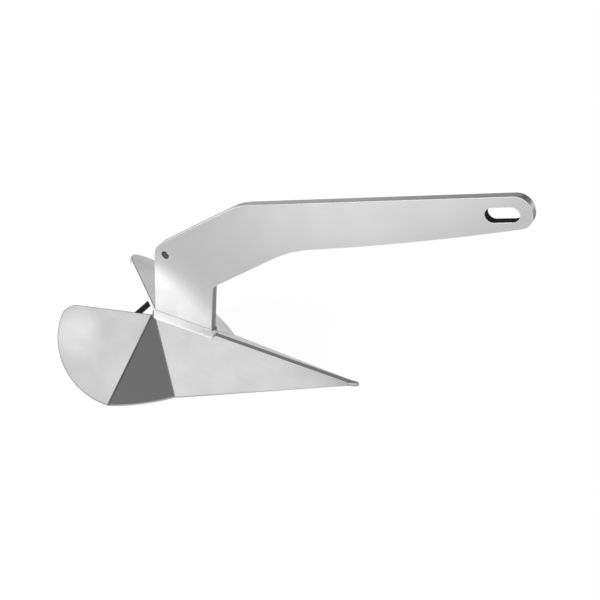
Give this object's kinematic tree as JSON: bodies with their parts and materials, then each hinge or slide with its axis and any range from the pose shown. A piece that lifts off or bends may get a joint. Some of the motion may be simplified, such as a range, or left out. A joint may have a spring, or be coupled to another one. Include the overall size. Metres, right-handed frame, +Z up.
{
  "type": "plough anchor",
  "caption": "Fixed-shank plough anchor with a folded, winged fluke, a ballasted nose, a cranked plate shank with a shackle slot, and a round tie bar between the wings.",
  "frame": {"origin": "centre of the anchor's box on the floor that it rests on, nose and both heels down", "axes": "+X forward, to the fluke's nose and the shank's head; +Z up; Y = 0 is the anchor's plane of symmetry, with +Y to port"},
  "size_m": [0.7178, 0.3016, 0.3029],
  "materials": {
    "plate_steel": "satin polished stainless plate",
    "dressed_weld": "weld ground and polished nearly flush",
    "inner_weld": "weld bead left as laid",
    "bar_steel": "drawn stainless round bar",
    "lead": "cast lead, sealed inside the nose"
  },
  "bodies": {
    "root": {"shank": "plate_steel", "fluke_plate_starboard": "plate_steel", "fluke_plate_port": "plate_steel", "ridge_weld": "dressed_weld", "nose_weld": "dressed_weld", "foot_weld_starboard": "dressed_weld", "foot_weld_port": "dressed_weld", "foot_weld_front": "dressed_weld", "foot_weld_rear": "dressed_weld", "ballast_cover": "plate_steel", "nose_ballast": "lead", "ballast_bulkhead": "plate_steel", "cover_weld_starboard": "inner_weld", "cover_weld_port": "inner_weld", "bulkhead_weld_starboard": "inner_weld", "bulkhead_weld_port": "inner_weld", "ridge_root_weld": "inner_weld", "tie_bar": "bar_steel", "tie_bar_weld_starboard": "inner_weld", "tie_bar_weld_port": "inner_weld"}
  },
  "joints": []
}
